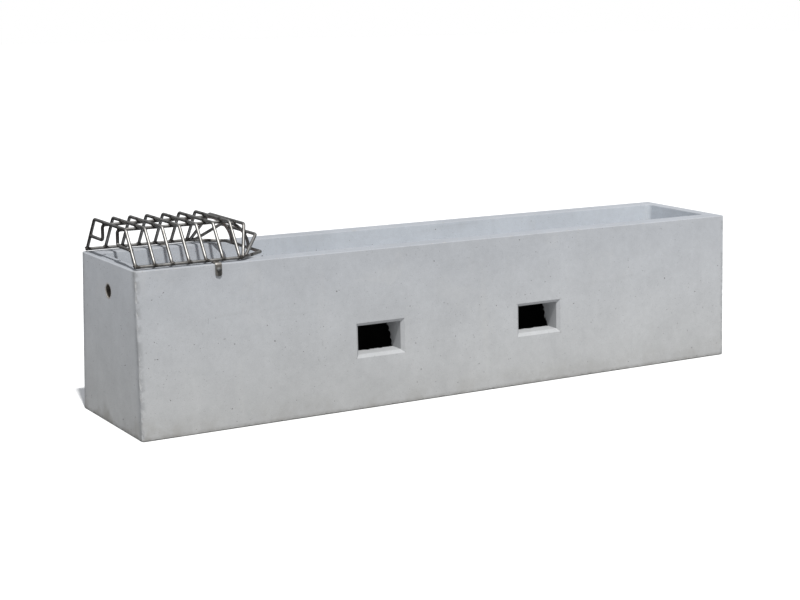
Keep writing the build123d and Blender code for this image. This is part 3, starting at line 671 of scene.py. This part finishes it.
def build_shell():
    bm = cad_bmesh("trough_shell")
    bmesh.ops.dissolve_limit(bm, angle_limit=math.radians(0.5), verts=bm.verts, edges=bm.edges)
    arris = [e for e in bm.edges if len(e.link_faces) == 2 and e.calc_face_angle_signed(0.0) > math.radians(30)]
    bmesh.ops.bevel(bm, geom=arris, offset=0.0013, offset_type="OFFSET", segments=2, profile=0.5, affect="EDGES", clamp_overlap=True)
    for axis, steps in ((0, np.arange(-1.32, 1.33, 0.06)), (2, np.arange(0.03, 0.6, 0.045)), (1, np.arange(-0.24, 0.25, 0.06))):
        no = [0.0, 0.0, 0.0]
        no[axis] = 1.0
        for v in steps:
            c = [0.0, 0.0, 0.0]
            c[axis] = float(v) + 0.00037
            bmesh.ops.bisect_plane(bm, geom=bm.verts[:] + bm.edges[:] + bm.faces[:], dist=1e-6, plane_co=c, plane_no=no)
    bmesh.ops.triangulate(bm, faces=bm.faces)
    ob = finish_mesh(bm, "concrete_shell")
    for slot_mat in SHELL_MATS:
        ob.data.materials.append(slot_mat)
    small, big, rags = Cutters(1), Cutters(2), Cutters(2)

    def sizes(n, med, sig, lo_, hi_):
        return np.clip(np.exp(RNG.normal(math.log(med), sig, n)), lo_, hi_)

    def in_pocket(x, z):
        return abs(abs(x) - POCKET_X) < POCKET_W / 2 + 0.024 and SILL - 0.026 < z < SILL + POCKET_H + 0.024

    # long faces, front and back
    for sy, n in ((-1, 620), (1, 460)):
        for r in sizes(n, 0.00105, 0.42, 0.0006, 0.0031):
            x, z = RNG.uniform(-1.332, 1.332), RNG.uniform(0.008, 0.585)
            if RNG.random() < 0.35:
                z = RNG.uniform(0.20, 0.40)
            if in_pocket(x, z):
                continue
            blowhole(small, (x, sy * face_y(z), z), (0, sy, SLOPE), r, r * RNG.uniform(0.5, 0.9), 2 if r > 0.0012 else 1)
    # end faces
    for sx, hole_z, hole_r in ((-1, INLET_Z, 0.032), (1, DRAIN_Z, 0.050)):
        for r in sizes(150, 0.0010, 0.42, 0.0006, 0.0030):
            z = RNG.uniform(0.01, 0.585)
            y = RNG.uniform(-1, 1) * (face_y(z) - 0.014)
            if math.hypot(y, z - hole_z) < hole_r:
                continue
            blowhole(small, (sx * HX, y, z), (sx, 0, 0), r, r * RNG.uniform(0.5, 0.9), 2 if r > 0.0012 else 1)
    # trowelled rim
    for r in sizes(170, 0.0010, 0.40, 0.0006, 0.0026):
        if RNG.random() < 0.86:
            x, y = RNG.uniform(-1.335, 1.335), RNG.choice((-1, 1)) * RNG.uniform(0.192, 0.238)
        else:
            x, y = RNG.choice((-1, 1)) * RNG.uniform(1.311, 1.337), RNG.uniform(-0.17, 0.17)
        blowhole(small, (x, y, RIM), (0, 0, 1), r, r * RNG.uniform(0.3, 0.6), 2 if r > 0.0012 else 1)
    # basin walls
    t = math.tan(math.radians(3.65))
    for r in sizes(330, 0.0011, 0.42, 0.0006, 0.0030):
        z = RNG.uniform(0.395, 0.585)
        sy = RNG.choice((-1, 1))
        x = RNG.uniform(-1.25, 1.25)
        blowhole(small, (x, sy * (0.18 - (RIM - z) * t), z), (0, -sy, t), r, r * RNG.uniform(0.5, 0.9), 2 if r > 0.0012 else 1)
    for r in sizes(40, 0.0011, 0.42, 0.0006, 0.0026):
        z, y = RNG.uniform(0.43, 0.585), RNG.uniform(-0.14, 0.14)
        blowhole(small, (HX - 0.052 - (RIM - z) * t, y, z), (-1, 0, t), r, r * RNG.uniform(0.5, 0.9), 2 if r > 0.0012 else 1)
    # a few drawn-out voids where bleed water ran up the form
    for x, z in ((0.985, 0.330), (0.42, 0.47), (-0.62, 0.26), (-1.08, 0.39), (1.19, 0.18)):
        for k in range(5):
            zz = z + k * 0.0042
            blowhole(small, (x + RNG.normal(0, 0.0006), -face_y(zz), zz), (0, -1, SLOPE), 0.0011, 0.0007, 1)

    # worn and chipped edges
    seed = 0
    d = 1 / math.sqrt(2)
    R = 0.009
    for sx in (-1, 1):
        for sy in (-1, 1):
            z = 0.012
            while z < 0.575:
                seed += 1
                y = face_y(z)
                p = (sx * (HX - R * (1 - d)), sy * (y - R * (1 - d)), z)
                bite = RNG.uniform(0.0003, 0.0014) * (1.6 if RNG.random() < 0.12 else 1.0)
                chip(big, p, (sx, sy, 0), (0, sy * -SLOPE, 1), RNG.uniform(0.009, 0.020), bite, seed, 0.22, RNG.uniform(1.6, 3.0))
                z += RNG.uniform(0.018, 0.055)
    for sy in (-1, 1):
        x = -1.33
        while x < 1.33:                                      # along the foot
            seed += 1
            s = RNG.uniform(0.003, 0.008)
            chip(big, (x, sy * FOOT_Y, 0.0), (0, sy, -1), (1, 0, 0), s, RNG.uniform(0.0006, 0.0026), seed, 0.35, RNG.uniform(1.2, 2.4))
            x += RNG.uniform(0.02, 0.075)
        x = -1.32
        while x < 1.32:                                      # along the rim, outer and inner
            seed += 1
            chip(big, (x, sy * (TOP_Y - RIM_R * (1 - d)), RIM - RIM_R * (1 - d)), (0, sy, 1), (1, 0, 0), RNG.uniform(0.004, 0.009),
                 RNG.uniform(0.0002, 0.0011), seed, 0.30, RNG.uniform(1.4, 2.6))
            x += RNG.uniform(0.045, 0.20)
        x = -1.27
        while x < 1.27:
            seed += 1
            chip(big, (x, sy * (0.18 + RIM_R * (1 - d)), RIM - RIM_R * (1 - d)), (0, -sy, 1), (1, 0, 0), RNG.uniform(0.004, 0.009),
                 RNG.uniform(0.0002, 0.0011), seed, 0.30, RNG.uniform(1.4, 2.6))
            x += RNG.uniform(0.06, 0.24)
    for sx in (-1, 1):
        y = -0.265
        while y < 0.265:
            seed += 1
            chip(big, (sx * HX, y, 0.0), (sx, 0, -1), (0, 1, 0), RNG.uniform(0.003, 0.008), RNG.uniform(0.0006, 0.0026), seed, 0.35, 1.8)
            y += RNG.uniform(0.02, 0.07)
    # fork pockets: a nicked mouth, and a ragged edge where the reveal breaks through to the hollow
    for cx in (-POCKET_X, POCKET_X):
        x0, x1, z0, z1 = cx - POCKET_W / 2, cx + POCKET_W / 2, SILL, SILL + POCKET_H
        for sy in (-1, 1):
            b = 0.012
            mouth = []
            for a in np.arange(x0 - b, x1 + b, 0.019):
                mouth += [((a, z1 + b), (0, 1), (1, 0)), ((a, z0 - b), (0, -1), (1, 0))]
            for a in np.arange(z0 - b, z1 + b, 0.019):
                mouth += [((x0 - b, a), (-1, 0), (0, 1)), ((x1 + b, a), (1, 0), (0, 1))]
            for (a, z), o, al in mouth:
                if RNG.random() < 0.55:
                    seed += 1
                    j = RNG.uniform(-0.006, 0.006)
                    chip(big, (a + al[0] * j, sy * face_y(z), z + al[1] * j), (-o[0] * 0.4, sy, -o[1] * 0.4), (al[0], 0, al[1]),
                         RNG.uniform(0.0022, 0.0045), RNG.uniform(0.0003, 0.0012), seed, 0.35, 1.6)
            rag = []
            for a in np.arange(x0, x1 + 1e-6, 0.0105):
                rag += [(a, z1, (0, -1)), (a, z0, (0, 1))]
            for a in np.arange(z0, z1 + 1e-6, 0.0105):
                rag += [(x0, a, (1, 0)), (x1, a, (-1, 0))]
            for a, z, inn in rag:
                seed += 1
                s = RNG.uniform(0.0050, 0.0135)
                jx, jy = RNG.normal(0, 0.0022, 2)
                p = np.array((a + inn[0] * 0.001 + jx * abs(inn[1]), sy * (hollow_y(z) + 0.002 + jy), z + inn[1] * 0.001 + jx * abs(inn[0])))
                v, f = ICO[2]
                k = np.array([1.0 + 0.38 * noise.noise(Vector(q) * 1.7 + Vector((seed * 1.9, 0.3, seed * 0.7))) for q in v])[:, None]
                rags.add(p, s * 1.4, p + v * s * k, f)
    for c in (big, rags, small):
        c.cut(ob)
    bm = bmesh.new()
    bm.from_mesh(ob.data)
    for f in bm.faces:
        f.smooth = True
    for e in bm.edges:
        a, b = (e.link_faces[0], e.link_faces[-1]) if e.link_faces else (None, None)
        e.smooth = bool(a) and a.material_index == b.material_index and e.calc_face_angle(0.0) < math.radians(42 if a.material_index == 0 else 55)
    open_edges = sum(1 for e in bm.edges if len(e.link_faces) != 2)
    print("shell: rounds", len(big.rounds), len(rags.rounds), len(small.rounds), "faces", len(bm.faces), "open", open_edges,
          "litres", round(bm.calc_volume() * 1000, 2), "slots", [m.name for m in ob.data.materials])
    bm.to_mesh(ob.data)
    bm.free()
    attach(ob, "trough")
    w = ob.modifiers.new("flat_faces", "WEIGHTED_NORMAL")
    w.keep_sharp = True
    w.weight = 60
    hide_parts("trough_shell")
    return ob


SHELL_MATS = [M_CONCRETE, M_PORE, M_BROKEN]
shell = build_shell()

# ------------------------------------------------------------------ weld beads of the guard
BAR = 0.006
GZ = 0.6107
GHALF, THALF, TOPZ = 0.229, 0.146, 0.732
RIBS = [-1.337] + [-1.2653 + 0.0657 * i for i in range(6)]
LBZ = TOPZ - 2 * BAR + 0.0004


def saddle_bead(foot, direction, seed, r=0.0024, along=(1, 0, 0)):
    """Fillet weld where a bar ends on the side of another; foot lies on the axis of the other bar."""
    F = Vector(foot)
    d = Vector(direction).normalized()
    a = Vector(along).normalized()
    c = d.dot(a)
    q = math.sqrt(1 - c * c)
    e1 = (a - d * c).normalized()
    e2 = d.cross(e1)
    n = 40
    pts = []
    for i in range(n):
        th = 2 * math.pi * i / n
        s = BAR * (c * math.cos(th) + abs(math.cos(th)) ** 1.1) / q * 0.98 + 0.0006
        wob = 0.00045 * noise.noise(Vector((math.cos(th) * 1.4 + seed, math.sin(th) * 1.4, seed * 0.37)))
        pts.append(F + d * (s + wob) + (e1 * math.cos(th) + e2 * math.sin(th)) * (BAR * 0.97 + wob))
    base = random.Random(seed)
    a0, a1 = base.uniform(0.85, 1.15), base.uniform(0.2, 0.35)
    return tube(pts, lambda t: r * (a0 + a1 * math.sin(2 * math.pi * (t * 2 + seed * 0.31))), sides=10, closed=True,
                ripple=0.10, ripple_len=0.0015, wobble=0.0002, seed=seed)


feet, tops, cross = Heap(), Heap(), Heap()
k = 0
for x in RIBS:
    for sy in (-1, 1):
        k += 1
        feet.add(saddle_bead((x, sy * GHALF, GZ), (0, -sy * (GHALF - THALF), TOPZ - GZ), k))
        for s in (-1, 1):
            feet.add(lump((x + s * 0.0062, sy * (GHALF - 0.001), GZ + 0.0056), ((0.0034, 0, 0), (0, 0.0036, 0), (0, 0, 0.0025)), k + s, 0.22))
FANS = [((-0.9245, 0.2285), (-0.8786, 0.719)), ((-0.9115, 0.2191), (-0.8313, 0.6765))]
for (fx, fy), (tx, tz) in FANS:
    for sy in (-1, 1):
        k += 1
        d = Vector((tx - fx, -sy * (fy - THALF), tz - GZ))
        feet.add(saddle_bead((fx, sy * fy, GZ), d, k, 0.0027))
        feet.add(lump((fx + 0.0035, sy * (fy + 0.001), GZ + 0.0058), ((0.0058, 0, 0), (0, 0.0046, 0), (0, 0, 0.0030)), k, 0.25))
# where the leaning ribs and rib 7 crowd together
for sy in (-1, 1):
    k += 1
    feet.add(lump((-0.9306, sy * 0.2285, GZ + 0.0062), ((0.0062, 0, 0), (0, 0.0042, 0), (0, 0, 0.0036)), k, 0.28))
    feet.add(lump((-0.9180, sy * 0.2238, GZ + 0.0060), ((0.0056, 0, 0), (0, 0.0044, 0), (0, 0, 0.0036)), k + 50, 0.28))
for x in RIBS[1:]:
    for sy in (-1, 1):
        for s in (-1, 1):
            k += 1
            tops.add(lump((x + s * 0.0052, sy * 0.070, TOPZ - 0.0060), ((0.0024, 0, 0), (0, 0.0038, 0), (0, 0, 0.0024)), k, 0.25))
ARC_CX, ARC_R = -0.9329, -0.812 - 2 * BAR + 0.0004 + 0.9329
ARC_CZ = LBZ - ARC_R
for (fx, fy), (tx, tz) in FANS:
    # contact between the rib's top bar and the arc of the long bar
    c = Vector((ARC_CX, 0, ARC_CZ))
    t = Vector((tx, 0, tz))
    n = (t - c).normalized()
    q = c + n * (ARC_R + BAR)
    tang = Vector((n.z, 0, -n.x))
    for sy in (-1, 1):
        for s in (-1, 1):
            k += 1
            p = q + tang * s * 0.0052
            tops.add(lump((p.x, sy * 0.070, p.z), (tang * 0.0024, (0, 0.0039, 0), n * 0.0024), k, 0.25))
for sy in (-1, 1):
    # the turned-down end of the long bar: tacked under the top of rib 1, welded to its leg
    leg_y = GHALF - (GHALF - THALF) * (0.665 - GZ) / (TOPZ - GZ)
    cross.add(saddle_bead((RIBS[0], sy * leg_y, 0.665), (0, -sy, 0), k + 31, 0.0025, along=(0, -sy * (GHALF - THALF), TOPZ - GZ)))
    for s in (-1, 1):
        k += 1
        tops.add(lump((-1.3341 + s * 0.0006, sy * 0.070 + s * 0.0014, 0.7257), ((0.0040, 0, 0.0018), (0, 0.0036, 0), (-0.0011, 0, 0.0027)), k + 77, 0.25))
        cross.add(lump((-0.8180, sy * 0.070 + s * 0.0054, GZ + 0.0008), ((0.0027, 0, 0), (0, 0.0025, 0), (0, 0, 0.0046)), k + 9, 0.25))
        # long fillets between the base bar and the strap under it
        y = sy * (GHALF + s * 0.0058)
        pts = [(-1.0335 - 0.011 + 0.022 * i / 40, y, GZ - 0.0042) for i in range(41)]
        cross.add(tube(pts, lambda u: 0.0021 * (0.75 + 0.35 * math.sin(math.pi * u) ** 0.5), sides=10, ripple=0.10, ripple_len=0.0016, wobble=0.0002, seed=k))
new_object("weld_beads_feet", feet.v, feet.f, M_WELD, "guard")
new_object("weld_beads_tops", tops.v, tops.f, M_WELD, "guard")
new_object("weld_beads_ends", cross.v, cross.f, M_WELD, "guard")

# ------------------------------------------------------------------ hardware with broken edges
softened("guard_strap_front", "strap_front", 0.0008, M_STRAP)
softened("guard_strap_back", "strap_back", 0.0008, M_STRAP)
softened("guard_lock_nuts", "lock_nuts", 0.0004, M_ZINC)
softened("clamp_screw_front", "hex_screw_front", 0.0004, M_ZINC)
softened("clamp_screw_back", "hex_screw_back", 0.0004, M_ZINC)
softened("inlet_back_nut", "back_nut", 0.0006, M_BRASS)
softened("inlet_clamp_washer", "clamp_washer", 0.0003, M_BRASS)
softened("valve_body", "valve_casting", 0.0007, M_BRASS)
softened("valve_end_cap", "end_cap", 0.0005, M_BRASS)
softened("valve_lever", "lever_casting", 0.0006, M_BRASS)
softened("rod_lock_nut", "lock_nut", 0.0004, M_BRASS)
softened("drain_plug", "drain_plug_turned", 0.0006, M_BRASS)
softened("drain_socket", "drain_socket_turned", 0.0005, M_BRASS)

# ------------------------------------------------------------------ floor, light, camera
bpy.ops.mesh.primitive_plane_add(size=60.0, location=(0, 0, -0.003))
floor = bpy.context.object
floor.name = "floor"
floor.visible_glossy = False
kf = Mat("floor_pale")
xf, yf, _ = kf.xyz()
nf = kf.noise(60.0, 3, 0.5)
seen_by_eye = kf.t.nodes.new("ShaderNodeLightPath").outputs["Is Camera Ray"]
cf = kf.mix(seen_by_eye, (0.470, 0.470, 0.470), kf.ramp(nf, [(0.3, (0.865, 0.865, 0.865)), (0.7, (0.885, 0.885, 0.885))]))
# painted shade: a near-black patch on the floor under the trough's footprint
under = kf.math("MULTIPLY", kf.remap(kf.math("ABSOLUTE", xf), 1.29, 1.33, 1.0, 0.0), kf.remap(kf.math("ABSOLUTE", yf), 0.215, 0.255, 1.0, 0.0))
cf = kf.mix(under, cf, (0.035, 0.034, 0.032))
floor.data.materials.append(kf.set(color=cf, rough=0.9, spec=0.0))

world = bpy.data.worlds.new("studio")
bpy.context.scene.world = world
world.use_nodes = True
world.cycles.sampling_method = "NONE"
wt = world.node_tree
wt.nodes.clear()
wo = wt.nodes.new("ShaderNodeOutputWorld")
lp = wt.nodes.new("ShaderNodeLightPath")
tcw = wt.nodes.new("ShaderNodeTexCoord")
sepw = wt.nodes.new("ShaderNodeSeparateXYZ")
wt.links.new(tcw.outputs["Generated"], sepw.inputs[0])


def sky(stops):
    """Background whose brightness follows the height of the ray."""
    m = wt.nodes.new("ShaderNodeMapRange")
    m.inputs[1].default_value = -1.0
    m.inputs[2].default_value = 1.0
    wt.links.new(sepw.outputs[2], m.inputs[0])
    r = wt.nodes.new("ShaderNodeValToRGB")
    wt.links.new(m.outputs[0], r.inputs[0])
    e = r.color_ramp.elements
    e[0].position, e[0].color = stops[0][0], (*stops[0][1], 1)
    e[1].position, e[1].color = stops[-1][0], (*stops[-1][1], 1)
    for p_, c_ in stops[1:-1]:
        e.new(p_).color = (*c_, 1)
    b = wt.nodes.new("ShaderNodeBackground")
    wt.links.new(r.outputs[0], b.inputs[0])
    return b.outputs[0]


def pick(fac, a, b):
    m = wt.nodes.new("ShaderNodeMixShader")
    wt.links.new(fac, m.inputs[0])
    wt.links.new(a, m.inputs[1])
    wt.links.new(b, m.inputs[2])
    return m.outputs[0]


soft = sky([(0.0, (0.30, 0.30, 0.30)), (0.49, (0.34, 0.34, 0.34)), (0.52, (0.445, 0.455, 0.470)), (1.0, (0.470, 0.485, 0.510))])
mirror = sky([(0.0, (0.030, 0.029, 0.028)), (0.46, (0.045, 0.045, 0.045)), (0.54, (0.13, 0.132, 0.135)), (0.72, (0.36, 0.37, 0.385)), (1.0, (0.80, 0.82, 0.85))])
blank = sky([(0.0, (1.0, 1.0, 1.0)), (1.0, (1.0, 1.0, 1.0))])
wt.links.new(pick(lp.outputs["Is Camera Ray"], pick(lp.outputs["Is Glossy Ray"], soft, mirror), blank), wo.inputs[0])

sun = bpy.data.lights.new("key", "SUN")
sun.energy = 3.45
sun.angle = math.radians(2.5)
sun.color = (1.0, 0.992, 0.978)
so = bpy.data.objects.new("key", sun)
bpy.context.scene.collection.objects.link(so)
so.rotation_euler = Vector((-0.24, -1.0, 1.85)).to_track_quat("Z", "Y").to_euler()

cam = bpy.data.cameras.new("camera")
cam.lens = 75.27
cam.sensor_width = 36.0
cam.clip_end = 200.0
co = bpy.data.objects.new("camera", cam)
bpy.context.scene.collection.objects.link(co)
bpy.context.scene.camera = co
fwd = Vector((0.5145, 0.8354, -0.1934)).normalized()
right = Vector((0.8515, -0.5244, 0.0)).normalized()
right = (right - fwd * right.dot(fwd)).normalized()
up = right.cross(fwd)
roll = 0.0037
r2 = right * math.cos(roll) + up * math.sin(roll)
u2 = up * math.cos(roll) - right * math.sin(roll)
rot = Matrix((r2, u2, -fwd)).transposed()
co.matrix_world = Matrix.Translation((-3.5470, -5.5621, 1.6235)) @ rot.to_4x4()

vs = bpy.context.scene.view_settings
vs.view_transform = "Standard"
vs.look = "None"
vs.exposure = 0.0
vs.gamma = 1.0
